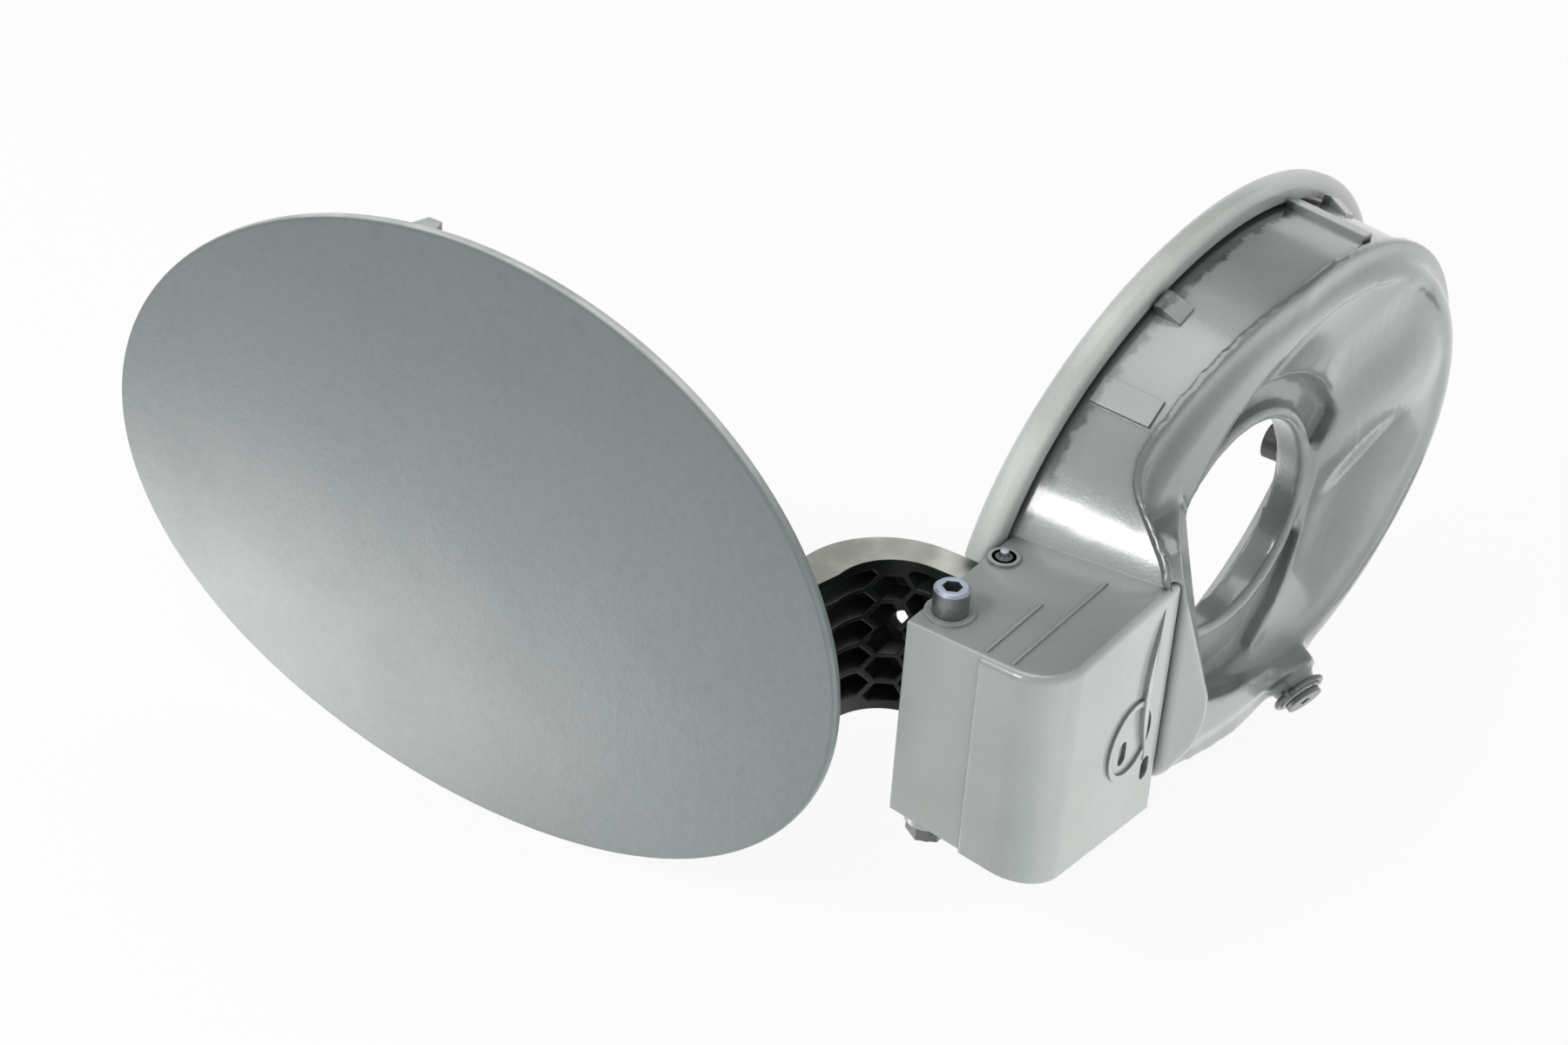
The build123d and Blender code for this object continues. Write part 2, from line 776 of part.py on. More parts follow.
# Inner panel with a rim rib that stops beside the arm's foot
rib_slab = crowned(inner_back_y - 0.6, inner_back_y + rib_h, door_crown_radius, door_yz)
with BuildPart() as inner_rib:
    with BuildSketch(door_plane):
        with Locations((door_centre_x, 0)):
            Ellipse(inner_half_x, inner_half_z)
            Ellipse(inner_half_x - 2, inner_half_z - 2, mode=Mode.SUBTRACT)
        with Locations((inner_half_x, hinge_mid_z)):
            Rectangle(60, 2 * foot_half_z + 4, mode=Mode.SUBTRACT)
    extrude(amount=-40)
    add(rib_slab, mode=Mode.INTERSECT)

with BuildPart() as inner_panel:
    with BuildSketch(door_plane):
        with Locations((door_centre_x, 0)):
            Ellipse(inner_half_x, inner_half_z)
    extrude(amount=-40)
    add(inner_slab, mode=Mode.INTERSECT)
    add(inner_rib.part)
    with BuildSketch(turned(at_depth(-20))):
        with Locations(*rivet_spots):
            Circle(rivet_r + running)
        with Locations(*screw_spots):
            Circle(arm_screw_r + running)
    extrude(amount=-40, mode=Mode.SUBTRACT)
inner_panel.part.label = "inner_panel"
export_step(inner_panel.part, "parts/inner_panel.step")

# Hinge arm, a gooseneck with a honeycomb in its hollow side
arm_plane = turned(Plane.XY.offset(arm_low_z))
skin_far_x = axis_x + arm_far
skin_near_x = axis_x - arm_near
bow_start = (arm_bow_x, arm_back_y)
bow_end = (arm_bow_x - arm_bow, arm_back_y - arm_bow)
foot_join_y = foot_back_y - 0.7
inner_back = arm_back_y - arm_depth


def arm_profile(skin, low, high):
    """Gooseneck in plan, thinned on its outer side by skin."""
    with BuildPart() as body:
        with BuildSketch(turned(Plane.XY.offset(low))):
            with BuildLine():
                Line((skin_far_x - skin, axis_y), (skin_far_x - skin, arm_back_y - arm_corner))
                JernArc((skin_far_x - skin, arm_back_y - arm_corner), (0, 1), arm_corner - skin, 90)
                Line((skin_far_x - arm_corner, arm_back_y - skin), (arm_bow_x, arm_back_y - skin))
                JernArc((arm_bow_x, arm_back_y - skin), (-1, 0), arm_bow - skin, 90)
                Line((bow_end[0] + skin, bow_end[1]), (arm_root_near_x + skin, foot_join_y))
                Line((arm_root_near_x + skin, foot_join_y), (arm_root_far_x, foot_join_y))
                Line((arm_root_far_x, foot_join_y), (arm_inner_x - arm_inner_bow, inner_back - arm_inner_bow))
                JernArc((arm_inner_x - arm_inner_bow, inner_back - arm_inner_bow), (0, 1), arm_inner_bow, -90)
                Line((arm_inner_x, inner_back), (skin_near_x - arm_inner_corner, inner_back))
                JernArc((skin_near_x - arm_inner_corner, inner_back), (1, 0), arm_inner_corner, -90)
                Line((skin_near_x, inner_back - arm_inner_corner), (skin_near_x, axis_y))
                Line((skin_near_x, axis_y), (skin_far_x - skin, axis_y))
            make_face()
        extrude(amount=high - low)
    return body.part


with BuildPart() as honeycomb:
    with BuildSketch(turned(at_depth(-10))):
        with Locations((hex_x, hinge_mid_z)):
            with HexLocations(hex_r * sqrt(3) / 2 + hex_rib / 2, 5, 5):
                RegularPolygon(radius=hex_r, side_count=6)
    extrude(amount=-60)
arm_pockets = arm_profile(arm_skin, arm_low_z + arm_skin, arm_high_z - arm_skin) & honeycomb.part

with BuildPart() as arm_foot:
    with BuildSketch(door_plane):
        with Locations(((foot_near_x + foot_far_x) / 2, hinge_mid_z)):
            RectangleRounded(foot_far_x - foot_near_x, 2 * foot_half_z, 4)
    extrude(amount=-40)
    add(foot_slab, mode=Mode.INTERSECT)

knuckle_low_z = arm_low_z + bush_flange_t
knuckle_high_z = arm_high_z - bush_flange_t

with BuildPart() as hinge_arm:
    add(arm_profile(0, arm_low_z, arm_high_z))
    add(arm_pockets, mode=Mode.SUBTRACT)
    add(arm_foot.part)
    # Knuckle, lowered at both ends for the bush flanges
    for start in (arm_low_z - 1, knuckle_high_z):
        with BuildSketch(Plane.XY.offset(start)):
            with Locations((axis_x, axis_y)):
                Circle(bush_flange_r + swing_gap)
        extrude(amount=bush_flange_t + 1, mode=Mode.SUBTRACT)
    with BuildSketch(Plane.XY.offset(knuckle_low_z)):
        with Locations((axis_x, axis_y)):
            Circle(knuckle_r)
    extrude(amount=knuckle_high_z - knuckle_low_z)
    with BuildSketch(Plane.XY.offset(arm_low_z - 5)):
        with Locations((axis_x, axis_y)):
            Circle(bush_r + running)
    extrude(amount=60, mode=Mode.SUBTRACT)
    # Opening through the skin in one cell of the honeycomb
    with BuildSketch(turned(at_depth(axis_y))):
        with Locations((hex_x, hinge_mid_z)):
            Circle(arm_hole_r)
    extrude(amount=-40, mode=Mode.SUBTRACT)
    # Eye for the spring and holes for the foot screws
    with BuildSketch(turned(Plane.XY.offset(arm_high_z))):
        with Locations((spring_arm_x, spring_arm_y)):
            Circle(wire_r + gap)
    extrude(amount=-4, mode=Mode.SUBTRACT)
    with BuildSketch(door_plane):
        with Locations(*screw_spots):
            Circle(arm_screw_r + running)
    extrude(amount=-(20 + foot_back_y + 2), mode=Mode.SUBTRACT)
hinge_arm.part.label = "hinge_arm"
export_step(hinge_arm.part, "parts/hinge_arm.step")

# Flanged bushes in the knuckle
with BuildPart() as upper_bush:
    with BuildSketch(Plane.XY.offset(knuckle_high_z)):
        with Locations((axis_x, axis_y)):
            Circle(bush_flange_r)
    extrude(amount=bush_flange_t)
    with BuildSketch(Plane.XY.offset(knuckle_high_z - bush_length)):
        with Locations((axis_x, axis_y)):
            Circle(bush_r)
    extrude(amount=bush_length)
    with BuildSketch(Plane.XY.offset(knuckle_high_z - bush_length)):
        with Locations((axis_x, axis_y)):
            Circle(sleeve_r + running)
    extrude(amount=bush_length + 5, mode=Mode.SUBTRACT)
upper_bush.part.label = "upper_bush"
export_step(upper_bush.part, "parts/upper_bush.step")

with BuildPart() as lower_bush:
    with BuildSketch(Plane.XY.offset(arm_low_z)):
        with Locations((axis_x, axis_y)):
            Circle(bush_flange_r)
    extrude(amount=bush_flange_t)
    with BuildSketch(Plane.XY.offset(knuckle_low_z)):
        with Locations((axis_x, axis_y)):
            Circle(bush_r)
    extrude(amount=bush_length)
    with BuildSketch(Plane.XY.offset(arm_low_z)):
        with Locations((axis_x, axis_y)):
            Circle(sleeve_r + running)
    extrude(amount=bush_length + 5, mode=Mode.SUBTRACT)
lower_bush.part.label = "lower_bush"
export_step(lower_bush.part, "parts/lower_bush.step")


def drop(z):
    """How far the door's crown falls back at height z."""
    return z**2 / (2 * door_crown_radius)


# Screws through the arm's foot into the inner panel
with BuildPart() as arm_screws:
    for x, z in screw_spots:
        seat = foot_back_y + drop(z) + gap
        with BuildSketch(turned(at_depth(seat))):
            with Locations((x, z)):
                Circle(arm_screw_head_r)
        extrude(amount=-1.8)
        with BuildSketch(turned(at_depth(inner_front_y + drop(z) + gap))):
            with Locations((x, z)):
                Circle(arm_screw_r)
        extrude(amount=inner_front_y + drop(z) + gap - seat)
arm_screws.part.label = "arm_screws"
export_step(arm_screws.part, "parts/arm_screws.step")

# Rivets that hold the inner panel
with BuildPart() as panel_rivets:
    for x, z in rivet_spots:
        seat = inner_back_y + drop(z) + 2 * gap
        with BuildSketch(turned(at_depth(seat))):
            with Locations((x, z)):
                Circle(rivet_head_r)
        extrude(amount=-1.4)
        with BuildSketch(turned(at_depth(panel_back_y + drop(z) + gap))):
            with Locations((x, z)):
                Circle(rivet_r)
        extrude(amount=panel_back_y + drop(z) + gap - seat)
panel_rivets.part.label = "panel_rivets"
export_step(panel_rivets.part, "parts/panel_rivets.step")

# Lock catch, an eye for the lock pin
catch_seat = inner_back_y + drop(catch_half_z) + gap
with BuildPart() as lock_catch:
    with BuildSketch(turned(at_depth(catch_seat))):
        with Locations((catch_x + 5, 0)):
            Rectangle(10 + 2 * catch_t, 2 * catch_half_z)
    extrude(amount=-1.8)
    with BuildSketch(turned(Plane.YZ.offset(catch_x - catch_t))):
        with BuildLine():
            Line((catch_seat, -catch_half_z), (lock_y, -catch_half_z))
            ThreePointArc((lock_y, -catch_half_z), (lock_y + catch_half_z, 0), (lock_y, catch_half_z))
            Line((lock_y, catch_half_z), (catch_seat, catch_half_z))
            Line((catch_seat, catch_half_z), (catch_seat, -catch_half_z))
        make_face()
        with Locations((lock_y, 0)):
            Circle(lock_pin_r + swing_gap, mode=Mode.SUBTRACT)
    extrude(amount=catch_t)
lock_catch.part.label = "lock_catch"
export_step(lock_catch.part, "parts/lock_catch.step")
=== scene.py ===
"""Looks of an oval car fuel door: finishes for the moulded pocket, the rubber boot, the primed door and the
hinge hardware, a softened skin for the boot, a sprung push nut, the studio and the camera."""

import json
import logging
import math
from collections.abc import Callable
from dataclasses import dataclass, field
from enum import Enum

import bmesh
import bpy
from mathutils import Matrix, Vector

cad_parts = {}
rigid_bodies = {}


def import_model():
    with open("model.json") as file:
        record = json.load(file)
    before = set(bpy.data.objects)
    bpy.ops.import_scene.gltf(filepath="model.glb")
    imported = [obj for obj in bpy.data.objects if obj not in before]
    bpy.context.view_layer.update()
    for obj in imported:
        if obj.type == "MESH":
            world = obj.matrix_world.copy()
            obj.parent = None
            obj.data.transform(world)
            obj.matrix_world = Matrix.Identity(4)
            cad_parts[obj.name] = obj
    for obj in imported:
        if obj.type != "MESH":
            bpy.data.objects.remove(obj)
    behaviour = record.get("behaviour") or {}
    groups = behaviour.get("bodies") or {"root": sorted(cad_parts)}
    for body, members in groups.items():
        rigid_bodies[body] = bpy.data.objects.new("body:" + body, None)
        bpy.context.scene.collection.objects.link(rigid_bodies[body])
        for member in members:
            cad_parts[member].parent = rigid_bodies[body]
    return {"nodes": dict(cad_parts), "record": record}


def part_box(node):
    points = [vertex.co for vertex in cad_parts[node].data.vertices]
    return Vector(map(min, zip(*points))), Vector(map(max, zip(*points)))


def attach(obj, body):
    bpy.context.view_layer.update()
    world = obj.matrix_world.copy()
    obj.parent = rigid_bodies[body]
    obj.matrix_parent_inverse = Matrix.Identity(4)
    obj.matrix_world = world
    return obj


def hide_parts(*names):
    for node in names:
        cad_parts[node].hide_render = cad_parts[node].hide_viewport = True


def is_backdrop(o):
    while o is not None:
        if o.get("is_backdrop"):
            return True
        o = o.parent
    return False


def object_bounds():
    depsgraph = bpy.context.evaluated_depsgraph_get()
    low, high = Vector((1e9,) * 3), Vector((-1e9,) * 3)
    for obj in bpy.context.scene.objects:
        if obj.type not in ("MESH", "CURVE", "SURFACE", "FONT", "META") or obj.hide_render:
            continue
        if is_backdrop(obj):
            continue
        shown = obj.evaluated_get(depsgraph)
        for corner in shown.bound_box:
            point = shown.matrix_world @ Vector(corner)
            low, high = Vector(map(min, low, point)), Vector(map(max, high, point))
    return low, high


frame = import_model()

LOG = logging.getLogger("fuel_door")
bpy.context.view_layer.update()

Colour = tuple[float, float, float]
Point = tuple[float, float, float]

WHITE: Colour = (1.0, 1.0, 1.0)
NOISE_MIDDLE = 0.5
EDGE_SAMPLES = 4
OPEN_AIR_SAMPLES = 6


class Body(Enum):
    """The two bodies of the part."""

    POCKET = "pocket"
    DOOR = "door"


class Effect(Enum):
    """Surface effects that several finishes share, each a node group of that name."""

    MOTTLE = "mottle"
    GRAIN = "moulded_grain"
    HANDLING = "handling_haze"
    EDGE = "rubbed_edge"
    CREVICE = "crevice_grime"
    UPWARD = "faded_top"


def rgba(colour: Colour) -> tuple[float, float, float, float]:
    """Returns the colour with full opacity."""
    return (*colour, 1.0)


class Sheet:
    """A node tree with short calls to add and join nodes."""

    def __init__(self, tree: bpy.types.NodeTree) -> None:
        """Keeps the tree that the nodes go into."""
        self.tree = tree

    def add(self, kind: str, **values: object) -> bpy.types.Node:
        """Adds a node and sets its inputs.

        Args:
            kind: Blender's name for the node type.
            values: Node properties, or inputs if the name has a capital, joined where a socket is given.

        Returns:
            The new node.
        """
        node = self.tree.nodes.new(kind)
        for name, value in values.items():
            if name[0].isupper():
                self.feed(node.inputs[name.replace("_", " ")], value)
            else:
                setattr(node, name, value)
        return node

    def feed(self, socket: bpy.types.NodeSocket, value: object) -> None:
        """Joins a socket to an input, or sets the input's own value.

        Args:
            socket: The input.
            value: The socket to join, or a plain value.
        """
        if isinstance(value, bpy.types.NodeSocket):
            self.tree.links.new(value, socket)
        else:
            socket.default_value = value

    def math(self, operation: str, first: object, second: object = 0.0) -> bpy.types.NodeSocket:
        """Reckons with two values.

        Args:
            operation: Blender's name for the sum.
            first: The first value.
            second: The second value.

        Returns:
            The result's socket.
        """
        node = self.add("ShaderNodeMath", operation=operation)
        self.feed(node.inputs[0], first)
        self.feed(node.inputs[1], second)
        return node.outputs[0]

    def product(self, first: object, *others: object) -> bpy.types.NodeSocket:
        """Multiplies two or more values.

        Args:
            first: The first value.
            others: The values to multiply it by.

        Returns:
            The product's socket.
        """
        for other in others:
            first = self.math("MULTIPLY", first, other)
        return first

    def spread(
        self, value: object, low: object, high: object, start: float = 0.0, end: float = 1.0,
    ) -> bpy.types.NodeSocket:
        """Maps a value from start and end to low and high, smoothly and within those limits.

        Args:
            value: The value to map.
            low: The result at start.
            high: The result at end.
            start: The value that gives low.
            end: The value that gives high.

        Returns:
            The mapped value's socket.
        """
        node = self.add("ShaderNodeMapRange", interpolation_type="SMOOTHSTEP")
        for place, number in zip(range(5), (value, start, end, low, high)):
            self.feed(node.inputs[place], number)
        return node.outputs[0]

    def blend(self, share: object, first: object, second: object) -> bpy.types.NodeSocket:
        """Mixes two colours.

        Args:
            share: The share of the second colour.
            first: The first colour.
            second: The second colour.

        Returns:
            The mixed colour's socket.
        """
        node = self.add("ShaderNodeMix", data_type="RGBA")
        # The node has sockets for every kind of value, and these are the ones for colours
        self.feed(node.inputs[0], share)
        self.feed(node.inputs[6], first)
        self.feed(node.inputs[7], second)
        return node.outputs[2]

    def noise(
        self, place: object, scale: object, detail: float = 3.0, roughness: float = 0.55,
    ) -> bpy.types.NodeSocket:
        """Returns the value of a noise texture at a place."""
        node = self.add("ShaderNodeTexNoise", Vector=place, Scale=scale, Detail=detail, Roughness=roughness)
        return node.outputs[0]

    def rounded(self, radius: object) -> bpy.types.NodeSocket:
        """Returns the normal that the surface would have with rounded edges."""
        return self.add("ShaderNodeBevel", samples=EDGE_SAMPLES, Radius=radius).outputs[0]

    def open_air(self, reach: object) -> bpy.types.NodeSocket:
        """Returns how open the space before the surface is, from 0 to 1."""
        return self.add("ShaderNodeAmbientOcclusion", samples=OPEN_AIR_SAMPLES, Distance=reach).outputs["AO"]

    def seen(self) -> bpy.types.NodeSocket:
        """Tells what is seen from what only gives light.

        Returns:
            The socket of 1 for what is seen straight, mirrored or through a clear piece, and 0 for the rest.
        """
        path = self.add("ShaderNodeLightPath").outputs
        direct = self.math("MAXIMUM", path["Is Camera Ray"], path["Is Glossy Ray"])
        return self.math("MAXIMUM", direct, path["Is Transmission Ray"])


class EffectLibrary:
    """The shared node groups, each built once."""

    def __init__(self) -> None:
        """Builds every group."""
        self.groups: dict[Effect, bpy.types.NodeTree] = {}
        self._mottle()
        self._grain()
        self._handling()
        self._edge()
        self._crevice()
        self._upward()

    def _start(
        self, effect: Effect, numbers: dict[str, float], colours: dict[str, Colour], outputs: dict[str, str],
    ) -> tuple[Sheet, bpy.types.NodeOutputs, bpy.types.NodeInputs]:
        """Makes an empty group with its sockets.

        Args:
            effect: The effect that the group gives.
            numbers: Number inputs and their usual values.
            colours: Colour inputs and their usual values.
            outputs: Output names and their socket types.

        Returns:
            The sheet, the values given to the group and the results that it gives back.
        """
        tree = bpy.data.node_groups.new(effect.value, "ShaderNodeTree")
        tree.interface.new_socket("Place", in_out="INPUT", socket_type="NodeSocketVector")
        for name, value in numbers.items():
            number = tree.interface.new_socket(name, in_out="INPUT", socket_type="NodeSocketFloat")
            number.default_value = value
        for name, value in colours.items():
            colour = tree.interface.new_socket(name, in_out="INPUT", socket_type="NodeSocketColor")
            colour.default_value = rgba(value)
        for name, kind in outputs.items():
            tree.interface.new_socket(name, in_out="OUTPUT", socket_type=kind)
        self.groups[effect] = tree
        sheet = Sheet(tree)
        return sheet, sheet.add("NodeGroupInput").outputs, sheet.add("NodeGroupOutput").inputs

    def _mottle(self) -> None:
        """Soft clouds between two tones, with a fine speckle in them."""
        sheet, given, result = self._start(
            Effect.MOTTLE,
            {"Scale": 20.0, "Speckle": 0.3, "Speckle Scale": 900.0},
            {"Dark": (0.2, 0.2, 0.2), "Light": (0.3, 0.3, 0.3)},
            {"Color": "NodeSocketColor"},
        )
        patchy = sheet.noise(given["Place"], given["Scale"])
        cloud = sheet.spread(patchy, low=0.0, high=1.0, start=0.3, end=0.7)
        speck = sheet.noise(given["Place"], given["Speckle Scale"], detail=1.0)
        speck = sheet.product(sheet.math("SUBTRACT", speck, NOISE_MIDDLE), given["Speckle"])
        share = sheet.add("ShaderNodeClamp", Value=sheet.math("ADD", cloud, speck)).outputs[0]
        sheet.feed(result["Color"], sheet.blend(share, given["Dark"], given["Light"]))

    def _grain(self) -> None:
        """The fine texture of a moulded or sprayed face, as a height."""
        sheet, given, result = self._start(
            Effect.GRAIN,
            {"Scale": 1500.0, "Ripple Scale": 40.0, "Ripple": 0.4},
            {},
            {"Height": "NodeSocketFloat"},
        )
        fine = sheet.noise(given["Place"], given["Scale"], detail=2.0)
        ripple = sheet.noise(given["Place"], given["Ripple Scale"], detail=1.0)
        sheet.feed(result["Height"], sheet.math("ADD", fine, sheet.product(ripple, given["Ripple"])))

    def _handling(self) -> None:
        """Patches that are duller or glossier than the rest, as a roughness."""
        sheet, given, result = self._start(
            Effect.HANDLING,
            {"Scale": 25.0, "Low": 0.3, "High": 0.5},
            {},
            {"Roughness": "NodeSocketFloat"},
        )
        patchy = sheet.noise(given["Place"], given["Scale"], detail=4.0, roughness=0.6)
        dull = sheet.spread(patchy, low=given["Low"], high=given["High"], start=0.3, end=0.7)
        sheet.feed(result["Roughness"], dull)

    def _edge(self) -> None:
        """A mask of the edges that are painted pale, partly as handling wear and partly as a painted
        highlight on rounded edges, broken up along their length.
        """
        sheet, given, result = self._start(
            Effect.EDGE,
            {"Width": 0.0006, "Amount": 0.5, "Break Scale": 120.0},
            {},
            {"Mask": "NodeSocketFloat"},
        )
        cosine = sheet.add("ShaderNodeVectorMath", operation="DOT_PRODUCT")
        sheet.feed(cosine.inputs[0], sheet.rounded(given["Width"]))
        sheet.feed(cosine.inputs[1], sheet.add("ShaderNodeNewGeometry").outputs["Normal"])
        edge = sheet.spread(cosine.outputs["Value"], low=1.0, high=0.0, start=0.8, end=0.99)
        patchy = sheet.noise(given["Place"], given["Break Scale"])
        broken = sheet.spread(patchy, low=0.35, high=1.0, start=0.35, end=0.6)
        sheet.feed(result["Mask"], sheet.product(edge, broken, given["Amount"]))

    def _crevice(self) -> None:
        """A mask of the corners and recesses that get painted shade, uneven along them."""
        sheet, given, result = self._start(
            Effect.CREVICE,
            {"Reach": 0.006, "Amount": 0.5, "Break Scale": 60.0},
            {},
            {"Mask": "NodeSocketFloat"},
        )
        # Painted shade: the less open the space before the surface, the darker it is painted
        shaded = sheet.spread(sheet.open_air(given["Reach"]), low=1.0, high=0.0, start=0.35, end=0.88)
        patchy = sheet.noise(given["Place"], given["Break Scale"], detail=2.0)
        uneven = sheet.spread(patchy, low=0.65, high=1.0, start=0.3, end=0.7)
        sheet.feed(result["Mask"], sheet.product(shaded, uneven, given["Amount"]))

    def _upward(self) -> None:
        """A mask of the open faces that look up, which are painted paler as a painted highlight from above.
        """
        sheet, given, result = self._start(
            Effect.UPWARD,
            {"Reach": 0.006, "Amount": 0.5, "Break Scale": 90.0},
            {},
            {"Mask": "NodeSocketFloat"},
        )
        normal = sheet.add("ShaderNodeNewGeometry").outputs["Normal"]
        height = sheet.add("ShaderNodeSeparateXYZ", Vector=normal).outputs["Z"]
        top = sheet.spread(height, low=0.0, high=1.0, start=0.55, end=0.95)
        bare = sheet.spread(sheet.open_air(given["Reach"]), low=0.0, high=1.0, start=0.55, end=0.85)
        patchy = sheet.noise(given["Place"], given["Break Scale"])
        uneven = sheet.spread(patchy, low=0.55, high=1.0, start=0.3, end=0.7)
        sheet.feed(result["Mask"], sheet.product(top, bare, uneven, given["Amount"]))


@dataclass(frozen=True)
class RimShadowLine:
    """A painted shadow line on the pocket's wall, close behind its crowned rim, where the rim shades the
    wall. Lengths are in metres.
    """

    amount: float
    crown_radius: float = 0.794
    depth: tuple[float, float] = (0.0074, 0.0088)
    ragged: float = 0.005
    ragged_scale: float = 260.0
    wall_half: tuple[float, float] = (0.0733, 0.0523)
    wall_ring: tuple[float, float] = (0.985, 1.0)
    box_side: tuple[float, float] = (0.066, 0.069)

    def mask(self, sheet: Sheet, place: bpy.types.NodeSocket) -> bpy.types.NodeSocket:
        """Masks the line, ragged along its edge, on the wall's outer face and clear of the hinge box.

        Args:
            sheet: The material's nodes.
            place: The place on the part.

        Returns:
            The mask's socket.
        """
        part = sheet.add("ShaderNodeSeparateXYZ", Vector=place).outputs
        crown = sheet.math("DIVIDE", sheet.product(part["Z"], part["Z"]), 2 * self.crown_radius)
        waver = sheet.math("SUBTRACT", sheet.noise(place, self.ragged_scale, detail=2.0), NOISE_MIDDLE)
        depth = sheet.math("SUBTRACT", part["Y"], crown)
        depth = sheet.math("ADD", depth, sheet.product(waver, self.ragged))
        near = sheet.spread(depth, self.amount, 0.0, *self.depth)
        across = sheet.math("POWER", sheet.math("DIVIDE", part["X"], self.wall_half[0]), 2.0)
        upright = sheet.math("POWER", sheet.math("DIVIDE", part["Z"], self.wall_half[1]), 2.0)
        outer = sheet.spread(sheet.math("ADD", across, upright), 0.0, 1.0, *self.wall_ring)
        off_box = sheet.spread(part["X"], 1.0, 0.0, *self.box_side)
        return sheet.product(near, outer, off_box)


@dataclass(frozen=True)
class Finish:
    """One surface finish, from its colours down to its grain. Lengths are in metres."""

    name: str
    dark: Colour
    light: Colour
    rough: tuple[float, float]
    cloud: float = 22.0
    speckle: float = 0.3
    speckle_scale: float = 900.0
    grain_scale: float = 1800.0
    grain_depth: float = 0.00004
    ripple_scale: float = 45.0
    ripple: float = 0.3
    # Colour, strength and width of the pale edges, partly wear and partly painted highlight
    edge_colour: Colour = (0.6, 0.63, 0.61)
    edge_amount: float = 0.4
    edge_width: float = 0.0006
    # Colour, strength and reach of the painted shade in corners, recesses and behind the rim
    painted_shade: Colour = (0.045, 0.055, 0.048)
    painted_shade_amount: float = 0.6
    painted_shade_reach: float = 0.006
    # Paler colour and strength of the painted highlight on open upward faces
    top_light: Colour = (0.3, 0.31, 0.28)
    top_light_amount: float = 0.0
    rim_shadow_line: RimShadowLine | None = None
    rounding: float = 0.0005
    metallic: float = 0.0
    coat: float = 0.0
    coat_rough: float = 0.12
    specular: float = 0.5

    def make(self, effects: EffectLibrary) -> bpy.types.Material:
        """Builds the material.

        Args:
            effects: The shared node groups.

        Returns:
            The finished material.
        """
        material = bpy.data.materials.new(self.name)
        material.use_nodes = True
        sheet = Sheet(material.node_tree)
        shader = material.node_tree.nodes["Principled BSDF"]
        place = sheet.add("ShaderNodeTexCoord").outputs["Object"]

        def effect(kind: Effect, **values: object) -> bpy.types.Node:
            """Places a shared group with its values."""
            return sheet.add("ShaderNodeGroup", node_tree=effects.groups[kind], Place=place, **values)

        tone = effect(
            Effect.MOTTLE, Scale=self.cloud, Speckle=self.speckle, Speckle_Scale=self.speckle_scale,
            Dark=rgba(self.dark), Light=rgba(self.light),
        ).outputs["Color"]
        # Pale edges: partly handling wear, partly a painted edge highlight
        mask = effect(Effect.EDGE, Width=self.edge_width, Amount=self.edge_amount).outputs["Mask"]
        worn_and_sheen = sheet.blend(mask, tone, rgba(self.edge_colour))
        # Painted shade: corners and recesses are mixed towards the painted shade colour
        shaded = effect(Effect.CREVICE, Reach=self.painted_shade_reach, Amount=self.painted_shade_amount).outputs["Mask"]
        shaded_tone = sheet.blend(shaded, worn_and_sheen, rgba(self.painted_shade))
        # Painted shadow: a dark ragged line on the wall just behind the rim
        if self.rim_shadow_line:
            shaded_tone = sheet.blend(self.rim_shadow_line.mask(sheet, place), shaded_tone, rgba(self.painted_shade))
        # Painted highlight: open faces that look up are mixed towards a paler colour
        top = effect(Effect.UPWARD, Amount=self.top_light_amount).outputs["Mask"]
        sheet.feed(shader.inputs["Base Color"], sheet.blend(top, shaded_tone, rgba(self.top_light)))
        haze = effect(Effect.HANDLING, Low=self.rough[0], High=self.rough[1])
        sheet.feed(shader.inputs["Roughness"], haze.outputs["Roughness"])
        height = effect(
            Effect.GRAIN, Scale=self.grain_scale, Ripple_Scale=self.ripple_scale, Ripple=self.ripple,
        ).outputs["Height"]
        soft = sheet.rounded(self.rounding)
        bump = sheet.add(
            "ShaderNodeBump", Height=height, Distance=self.grain_depth, Strength=1.0, Normal=soft,
        )
        sheet.feed(shader.inputs["Normal"], bump.outputs["Normal"])
        shader.inputs["Metallic"].default_value = self.metallic
        shader.inputs["Coat Weight"].default_value = self.coat
        shader.inputs["Coat Roughness"].default_value = self.coat_rough
        shader.inputs["Specular IOR Level"].default_value = self.specular
        return material


FRAME_PLASTIC = Finish(
    "frame_plastic", (0.225, 0.252, 0.236), (0.31, 0.333, 0.32), (0.22, 0.34), cloud=16.0,
    grain_depth=0.00003, ripple=4.0, coat=0.8, edge_amount=0.45, edge_width=0.0007,
    edge_colour=(0.55, 0.58, 0.56), painted_shade_amount=1.0, painted_shade_reach=0.007, rim_shadow_line=RimShadowLine(0.95),
)
SEAL_RUBBER = Finish(
    "seal_rubber", (0.46, 0.487, 0.465), (0.6, 0.625, 0.6), (0.3, 0.45), cloud=26.0, speckle=0.5, coat=0.2,
    edge_amount=0.2, painted_shade_amount=0.5,
)
BOOT_RUBBER = Finish(
    "boot_rubber", (0.108, 0.126, 0.12), (0.205, 0.223, 0.216), (0.22, 0.32), cloud=13.0, speckle=0.15,
    grain_depth=0.00003, ripple_scale=30.0, ripple=12.0, coat=0.9, coat_rough=0.13, edge_amount=0.15,
    painted_shade_amount=0.8, rounding=0.0006,
)
BLACK_RUBBER = Finish(
    "black_rubber", (0.022, 0.025, 0.024), (0.05, 0.055, 0.052), (0.4, 0.6), edge_amount=0.15,
    edge_colour=(0.16, 0.17, 0.165),
)
